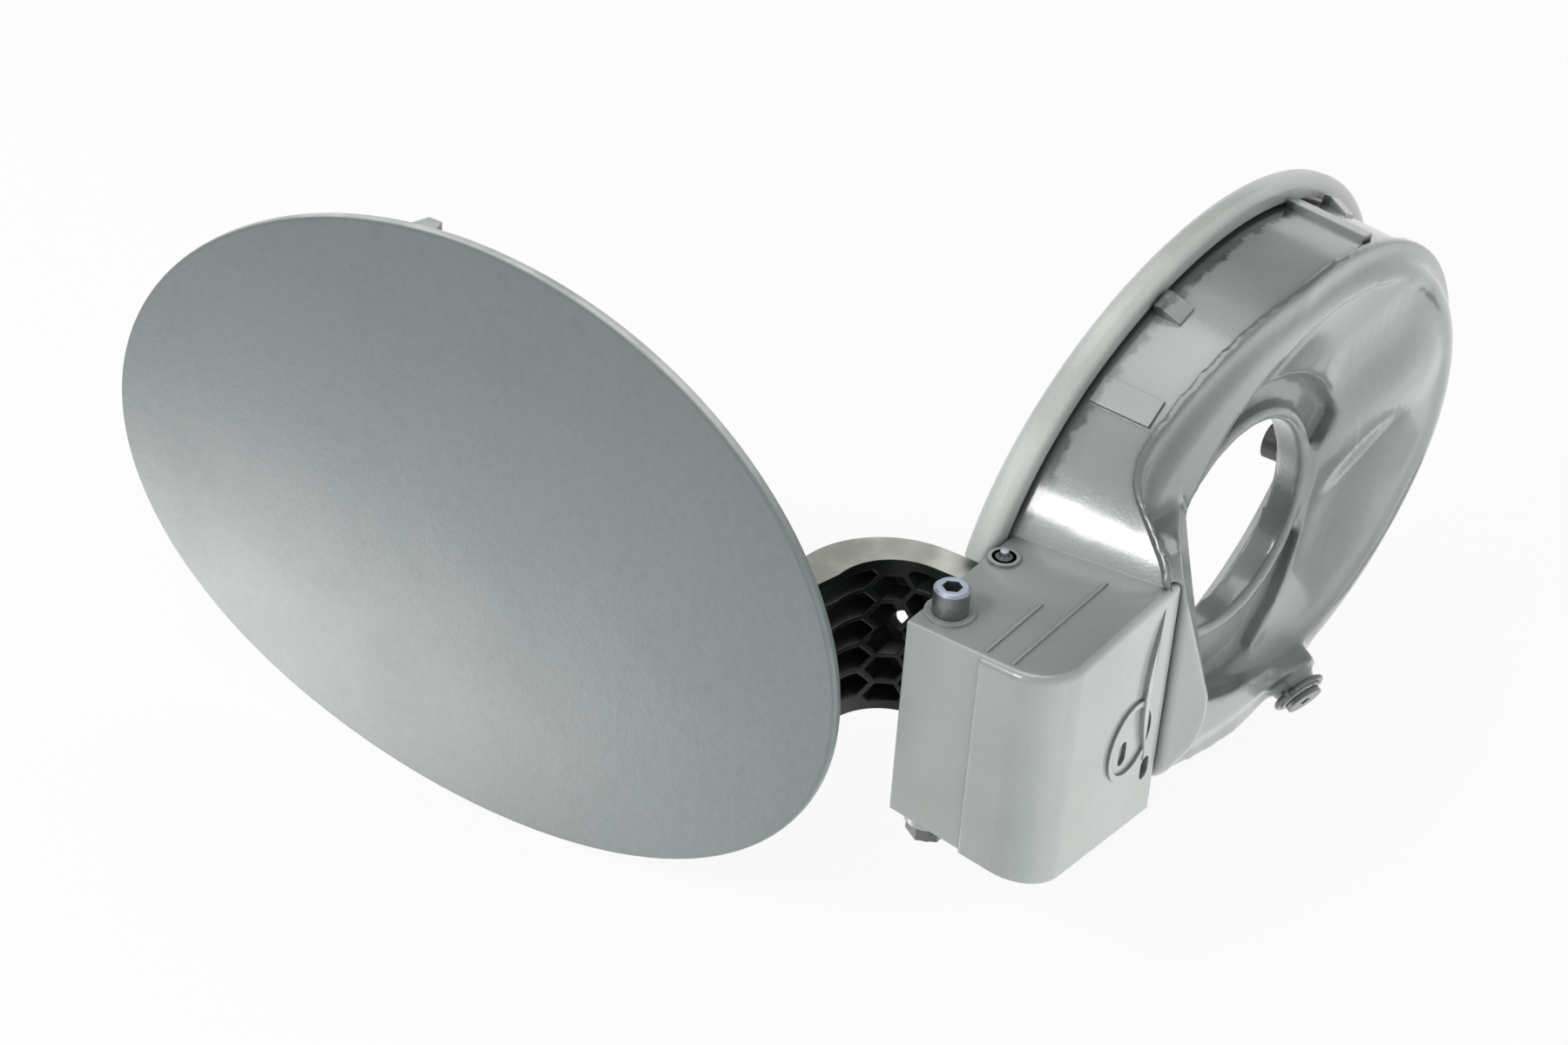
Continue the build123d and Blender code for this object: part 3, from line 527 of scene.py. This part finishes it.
VALVE_RUBBER = Finish(
    "valve_rubber", (0.1, 0.112, 0.106), (0.17, 0.182, 0.175), (0.3, 0.45), edge_amount=0.3, painted_shade_amount=0.9,
    edge_colour=(0.34, 0.36, 0.35),
)
DOOR_PAINT = Finish(
    "door_paint", (0.112, 0.138, 0.137), (0.136, 0.16, 0.16), (0.4, 0.52), cloud=9.0, speckle=1.5,
    speckle_scale=520.0, grain_scale=1100.0, edge_colour=(0.6, 0.64, 0.63), edge_amount=0.6,
    edge_width=0.0009, painted_shade_amount=0.0, coat=0.35, coat_rough=0.3, top_light=(0.66, 0.69, 0.67),
    top_light_amount=0.8,
)
INNER_PLASTIC = Finish(
    "inner_plastic", (0.1, 0.115, 0.11), (0.15, 0.165, 0.16), (0.45, 0.6), grain_depth=0.00009,
    grain_scale=1400.0, edge_amount=0.3, edge_colour=(0.34, 0.36, 0.35), top_light=(0.6, 0.62, 0.6),
    top_light_amount=0.7,
)
ARM_PLASTIC = Finish(
    "arm_plastic", (0.004, 0.007, 0.005), (0.012, 0.017, 0.014), (0.32, 0.5), cloud=45.0, speckle=0.6,
    edge_amount=0.35, edge_colour=(0.16, 0.18, 0.15), edge_width=0.0004, top_light=(0.7, 0.71, 0.64),
    top_light_amount=1.0, specular=0.3,
)
BEARING_PLASTIC = Finish(
    "bearing_plastic", (0.6, 0.59, 0.55), (0.72, 0.71, 0.67), (0.35, 0.5), edge_amount=0.2,
    edge_colour=(0.8, 0.79, 0.76),
)
ZINC_STEEL = Finish(
    "zinc_steel", (0.42, 0.45, 0.49), (0.62, 0.65, 0.69), (0.24, 0.42), cloud=260.0, speckle=0.8,
    speckle_scale=2600.0, metallic=1.0, edge_amount=0.4, edge_colour=(0.82, 0.84, 0.87), edge_width=0.0003,
)
SCREW_STEEL = Finish(
    "screw_steel", (0.15, 0.155, 0.16), (0.26, 0.27, 0.275), (0.3, 0.45), cloud=260.0, speckle=0.8,
    speckle_scale=2600.0, metallic=0.85, edge_amount=0.5, edge_colour=(0.75, 0.8, 0.88), edge_width=0.0003,
    top_light=(0.6, 0.68, 0.82), top_light_amount=0.9, painted_shade=(0.03, 0.035, 0.05), painted_shade_amount=0.9, painted_shade_reach=0.003,
)
DARK_STEEL = Finish(
    "dark_steel", (0.05, 0.055, 0.055), (0.11, 0.115, 0.115), (0.16, 0.3), cloud=200.0, speckle=0.6,
    metallic=0.6, edge_amount=0.35, edge_colour=(0.4, 0.42, 0.42), edge_width=0.0003, coat=0.6,
)
FINISHES = (
    FRAME_PLASTIC, SEAL_RUBBER, BOOT_RUBBER, BLACK_RUBBER, VALVE_RUBBER, DOOR_PAINT,
    INNER_PLASTIC, ARM_PLASTIC, BEARING_PLASTIC, ZINC_STEEL, SCREW_STEEL, DARK_STEEL,
)
# Solids that look different from the rest of their slot
OWN_FINISH = {
    "hinge_screw": SCREW_STEEL,
    "hinge_nut": DARK_STEEL,
    "drain_clip": DARK_STEEL,
    "drain_valve": VALVE_RUBBER,
}


@dataclass
class Dresser:
    """Gives each solid its own finish or that of its slot."""

    effects: EffectLibrary
    materials: dict[str, bpy.types.Material] = field(default_factory=dict)

    def prepare(self) -> None:
        """Builds the material of every finish."""
        for finish in FINISHES:
            self.materials[finish.name] = finish.make(self.effects)

    def dress(self) -> None:
        """Puts each solid's material on it."""
        for row in frame["record"]["subparts"]:
            node = frame["nodes"][row["node"]]
            node.data.materials.clear()
            own = OWN_FINISH.get(row["node"])
            name = own.name if own else row["material_slot"]
            node.data.materials.append(self.materials[name])
            LOG.info("dressed %s with %s", row["node"], name)


def select_only(piece: bpy.types.Object) -> None:
    """Leaves only one piece selected and active.

    Args:
        piece: The piece, in object mode.
    """
    bpy.ops.object.select_all(action="DESELECT")
    piece.select_set(True)
    bpy.context.view_layer.objects.active = piece


def pick(piece: bpy.types.Object, test: Callable[[Vector], bool]) -> None:
    """Selects the points of a mesh that a test wants.

    Args:
        piece: The piece, in edit mode.
        test: Says yes for a place that is wanted.
    """
    bpy.ops.mesh.select_mode(type="VERT")
    bpy.ops.mesh.select_all(action="DESELECT")
    mesh = bmesh.from_edit_mesh(piece.data)
    for vertex in mesh.verts:
        vertex.select_set(test(vertex.co))
    mesh.select_flush_mode()
    bmesh.update_edit_mesh(piece.data)


def apply_modifier(piece: bpy.types.Object, kind: str, **settings: object) -> None:
    """Adds a modifier and applies it.

    Args:
        piece: The active piece, in object mode.
        kind: Blender's name for the modifier type.
        settings: The modifier's properties.
    """
    modifier = piece.modifiers.new(kind.lower(), kind)
    for name, value in settings.items():
        setattr(modifier, name, value)
    bpy.ops.object.modifier_apply(modifier=modifier.name)


def hand_over(
    piece: bpy.types.Object, body: Body, material: bpy.types.Material, angle: float,
) -> None:
    """Finishes a piece: outward normals, smooth shading, finish and body.

    Args:
        piece: The finished piece, in object mode.
        body: The body that carries it.
        material: The finish.
        angle: The angle in degrees below which edges are smooth.
    """
    select_only(piece)
    bpy.ops.object.mode_set(mode="EDIT")
    bpy.ops.mesh.select_all(action="SELECT")
    bpy.ops.mesh.normals_make_consistent(inside=False)
    bpy.ops.object.mode_set(mode="OBJECT")
    bpy.ops.object.shade_smooth_by_angle(angle=math.radians(angle))
    piece.data.materials.clear()
    piece.data.materials.append(material)
    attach(piece, body.value)
    LOG.info("built %s, %d faces", piece.name, len(piece.data.polygons))


@dataclass(frozen=True)
class Fold:
    """A soft fold along a line on the boot's back. Places are x and z, and lengths are in metres."""

    start: tuple[float, float]
    end: tuple[float, float]
    shift: float
    reach: float
    half_width: float = 0.0015
    back_from: float = 0.024

    def near(self, place: Vector) -> bool:
        """Says whether a place lies on the fold's line.

        Args:
            place: A place on the boot.

        Returns:
            Yes for a place on the boot's back, close to the line.
        """
        start, end = Vector(self.start), Vector(self.end)
        along = end - start
        share = min(max((place.xz - start).dot(along) / along.length_squared, 0.0), 1.0)
        return place.y > self.back_from and (place.xz - start - along * share).length < self.half_width


@dataclass
class BootSkin:
    """The moulded rubber boot, with its edges and folds softened. Lengths are in metres."""

    weld: float = 0.00001
    swell: float = 0.0006
    settle: float = 0.0005
    voxel: float = 0.00065
    smoothing: float = 0.5
    passes: int = 12
    smooth_angle: float = 60.0
    folds: tuple[Fold, ...] = (
        Fold((-0.042, -0.014), (-0.034, -0.018), -0.0016, 0.02),
        Fold((-0.052, 0.0098), (-0.026, 0.0035), 0.0013, 0.012),
        Fold((-0.042, 0.0235), (-0.026, 0.02), -0.0011, 0.012),
    )

    def build(self, material: bpy.types.Material) -> bpy.types.Object:
        """Makes the skin over the boot's solid.

        Args:
            material: The rubber finish.

        Returns:
            The piece that stands for the boot.
        """
        piece = bpy.data.objects.new("boot_skin", frame["nodes"]["rear_boot"].data.copy())
        bpy.context.scene.collection.objects.link(piece)
        select_only(piece)
        bpy.ops.object.mode_set(mode="EDIT")
        bpy.ops.mesh.select_all(action="SELECT")
        bpy.ops.mesh.remove_doubles(threshold=self.weld)
        bpy.ops.object.mode_set(mode="OBJECT")
        # The solid is swollen first, because its thin wall would tear in the remesh
        apply_modifier(piece, "DISPLACE", strength=self.swell, mid_level=0.0)
        apply_modifier(piece, "REMESH", mode="VOXEL", voxel_size=self.voxel, use_smooth_shade=True)
        apply_modifier(piece, "SMOOTH", factor=self.smoothing, iterations=self.passes)
        apply_modifier(piece, "DISPLACE", strength=-self.settle, mid_level=0.0)
        rearmost = max(vertex.co.y for vertex in piece.data.vertices)
        bpy.ops.object.mode_set(mode="EDIT")
        # Only the boot itself stays, without crumbs that the remesh leaves
        pick(piece, lambda place: place.y >= rearmost)
        bpy.ops.mesh.select_linked()
        bpy.ops.mesh.select_all(action="INVERT")
        bpy.ops.mesh.delete(type="VERT")
        for fold in self.folds:
            pick(piece, fold.near)
            bpy.ops.transform.translate(
                value=(0.0, fold.shift, 0.0), use_proportional_edit=True, proportional_edit_falloff="SMOOTH",
                proportional_size=fold.reach,
            )
        bpy.ops.object.mode_set(mode="OBJECT")
        hand_over(piece, Body.POCKET, material, self.smooth_angle)
        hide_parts("rear_boot")
        return piece


@dataclass
class PushNut:
    """The sprung push nut on the toggle spring's end. Lengths are in metres."""

    rim: float = 0.0007
    dome: float = 0.00045
    dome_share: float = 0.72
    lip: float = 0.0004
    sheet: float = 0.00025
    rounding: float = 0.00006
    teeth: int = 6
    points_per_tooth: int = 4
    notch_turn: tuple[float, float] = (0.3, 0.8)
    notch_growth: float = 1.35
    hole_margin: float = 1.05
    smooth_angle: float = 35.0

    def build(self, material: bpy.types.Material) -> bpy.types.Object:
        """Makes the nut where the solid retainer is.

        Args:
            material: The steel finish.

        Returns:
            The piece that stands for the retainer.
        """
        low, high = (Vector(corner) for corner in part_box("spring_retainer"))
        middle = (low + high) / 2
        bpy.ops.object.select_all(action="DESELECT")
        bpy.ops.mesh.primitive_circle_add(
            vertices=self.points_per_tooth * self.teeth, radius=(high.x - low.x) / 2, fill_type="NGON",
        )
        piece = bpy.context.object
        piece.name = "push_nut"
        bpy.ops.object.mode_set(mode="EDIT")
        bpy.ops.transform.translate(value=(middle.x, middle.y, low.z))
        bpy.ops.mesh.select_all(action="SELECT")
        bpy.ops.mesh.inset(thickness=self.rim)
        bpy.ops.mesh.extrude_region_move(TRANSFORM_OT_translate={"value": (0.0, 0.0, self.dome)})
        bpy.ops.transform.resize(value=(self.dome_share, self.dome_share, 1.0))
        bpy.ops.mesh.inset(thickness=self.lip)
        bpy.ops.mesh.delete(type="ONLY_FACE")
        points = bmesh.from_edit_mesh(piece.data).verts
        hole = min((point.co.xy - middle.xy).length for point in points) * self.hole_margin

        def notch(place: Vector) -> bool:
            """Says whether a place on the hole's edge lies between two teeth."""
            turn = math.atan2(place.y - middle.y, place.x - middle.x) * self.teeth / math.tau
            start, end = self.notch_turn
            return (place.xy - middle.xy).length < hole and start < turn % 1.0 < end

        pick(piece, notch)
        bpy.ops.transform.resize(value=(self.notch_growth, self.notch_growth, 1.0))
        bpy.ops.object.mode_set(mode="OBJECT")
        apply_modifier(piece, "SOLIDIFY", thickness=self.sheet, offset=-1.0)
        apply_modifier(piece, "BEVEL", width=self.rounding, segments=2)
        hand_over(piece, Body.POCKET, material, self.smooth_angle)
        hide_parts("spring_retainer")
        return piece


@dataclass
class SoftBox:
    """A flat studio lamp that faces a point and may only show as sheen. Lengths are in metres."""

    name: str
    place: Point
    aim: Point
    size: tuple[float, float]
    watts: float
    sheen_only: bool = False

    def build(self) -> bpy.types.Object:
        """Makes the lamp.

        Returns:
            The lamp's object.
        """
        lamp = bpy.data.lights.new(self.name, "AREA")
        lamp.shape = "RECTANGLE"
        lamp.size, lamp.size_y = self.size
        lamp.energy = self.watts
        made = bpy.data.objects.new(self.name, lamp)
        made.location = self.place
        made.rotation_euler = (Vector(self.aim) - Vector(self.place)).to_track_quat("-Z", "Y").to_euler()
        made.visible_diffuse = not self.sheen_only
        bpy.context.scene.collection.objects.link(made)
        return made


@dataclass
class DarkCard:
    """A black studio card that only shows as a dark reflection. Lengths are in metres."""

    name: str
    place: Point
    aim: Point
    size: tuple[float, float]
    tone: Colour = (0.01, 0.01, 0.01)

    def build(self) -> bpy.types.Object:
        """Makes the card.

        Returns:
            The card's object.
        """
        bpy.ops.object.select_all(action="DESELECT")
        turn = (Vector(self.aim) - Vector(self.place)).to_track_quat("Z", "Y").to_euler()
        bpy.ops.mesh.primitive_plane_add(size=1.0, location=self.place, rotation=turn)
        card = bpy.context.object
        card.name = self.name
        card.scale = (*self.size, 1.0)
        material = bpy.data.materials.new(self.name)
        material.use_nodes = True
        shader = material.node_tree.nodes["Principled BSDF"]
        shader.inputs["Base Color"].default_value = rgba(self.tone)
        card.data.materials.append(material)
        card.visible_camera = False
        card.visible_diffuse = False
        card.visible_shadow = False
        card.visible_transmission = False
        card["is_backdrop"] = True
        return card


@dataclass
class Studio:
    """The pale floor, the white surround, the lamps, the cards and the camera. Lengths are in metres."""

    floor_half: float = 4.0
    floor_drop: float = 0.0005
    floor_tone: Colour = (0.9, 0.9, 0.9)
    floor_rough: float = 0.9
    floor_glow: float = 0.9
    surround: float = 0.72
    lens_mm: float = 71.82
    sensor_mm: float = 36.0
    near_clip: float = 0.01
    eye: Point = (0.484010, 0.231067, 0.336430)
    right: Point = (-0.5820682737, 0.8112045545, 0.0560686674)
    down: Point = (0.4272788539, 0.3637965500, -0.8276985268)
    ahead: Point = (-0.6918304024, -0.4578200967, -0.5583649822)
    lamps: tuple[SoftBox, ...] = (
        SoftBox("lamp_low_left", (0.22, -0.72, -0.75), (0.03, -0.06, 0.0), (0.8, 0.8), 9.0),
        SoftBox("lamp_low_right", (0.02, 0.87, -0.42), (0.03, 0.0, 0.0), (0.6, 0.6), 10.0),
        SoftBox("lamp_high", (0.8, -0.22, 0.66), (0.04, 0.0, 0.0), (0.24, 0.18), 3.0),
        SoftBox("sheen_door", (0.49, -0.75, -0.74), (0.11, -0.13, -0.05), (0.3, 0.3), 4.7, sheen_only=True),
        SoftBox("sheen_boot", (-0.66, 0.48, -0.34), (-0.03, 0.03, 0.02), (0.16, 0.16), 0.75, sheen_only=True),
        SoftBox("sheen_top", (-0.1, -0.2, 0.95), (0.03, 0.0, 0.0), (0.5, 0.5), 2.0, sheen_only=True),
    )
    cards: tuple[DarkCard, ...] = (
        DarkCard("card_above", (-0.55, -0.3, 0.5), (0.05, 0.0, 0.0), (0.6, 0.44)),
        DarkCard("card_side", (0.77, -0.5, 0.03), (0.11, -0.1, 0.05), (0.7, 0.44)),
        DarkCard("card_low", (-0.08, 0.062, -0.05), (-0.08, 0.062, 0.5), (0.06, 0.036)),
    )

    def light(self) -> None:
        """Makes the lamps, the dark cards and the white surround."""
        for piece in (*self.lamps, *self.cards):
            piece.build()
        world = bpy.data.worlds.new("surround")
        world.use_nodes = True
        bpy.context.scene.world = world
        sheet = Sheet(world.node_tree)
        back = world.node_tree.nodes["Background"]
        back.inputs["Color"].default_value = rgba(WHITE)
        sheet.feed(back.inputs["Strength"], sheet.spread(sheet.seen(), low=self.surround, high=1.0))

    def lay_floor(self) -> None:
        """Makes the pale floor under the part."""
        bpy.ops.object.select_all(action="DESELECT")
        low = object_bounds()[0][2] - self.floor_drop
        bpy.ops.mesh.primitive_plane_add(size=2 * self.floor_half, location=(0.0, 0.0, low))
        floor = bpy.context.object
        floor.name = "floor"
        material = bpy.data.materials.new("pale_floor")
        material.use_nodes = True
        sheet = Sheet(material.node_tree)
        shader = material.node_tree.nodes["Principled BSDF"]
        shader.inputs["Base Color"].default_value = rgba(self.floor_tone)
        shader.inputs["Roughness"].default_value = self.floor_rough
        glow = sheet.add("ShaderNodeEmission", Color=rgba(WHITE), Strength=1.0)
        mix = sheet.add("ShaderNodeMixShader")
        sheet.feed(mix.inputs[0], sheet.product(sheet.seen(), self.floor_glow))
        sheet.feed(mix.inputs[1], shader.outputs[0])
        sheet.feed(mix.inputs[2], glow.outputs[0])
        sheet.feed(material.node_tree.nodes["Material Output"].inputs["Surface"], mix.outputs[0])
        floor.data.materials.append(material)
        floor.visible_shadow = False
        floor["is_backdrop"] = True

    def place_camera(self) -> None:
        """Makes the camera at the photograph's viewing angle."""
        data = bpy.data.cameras.new("camera")
        data.lens = self.lens_mm
        data.sensor_width = self.sensor_mm
        data.clip_start = self.near_clip
        camera = bpy.data.objects.new("camera", data)
        axes = (Vector(self.right), -Vector(self.down), -Vector(self.ahead))
        turn = Matrix([list(axis) for axis in axes]).transposed()
        camera.matrix_world = Matrix.Translation(self.eye) @ turn.to_4x4()
        bpy.context.scene.collection.objects.link(camera)
        bpy.context.scene.camera = camera
        bpy.context.scene.view_settings.view_transform = "Standard"


def main() -> None:
    """Builds the studio and dresses the part."""
    logging.basicConfig(level=logging.INFO, format="%(name)s: %(message)s")
    studio = Studio()
    studio.place_camera()
    studio.light()
    dresser = Dresser(EffectLibrary())
    dresser.prepare()
    dresser.dress()
    BootSkin().build(dresser.materials[BOOT_RUBBER.name])
    PushNut().build(dresser.materials[DARK_STEEL.name])
    studio.lay_floor()


if __name__ == "__main__":
    main()
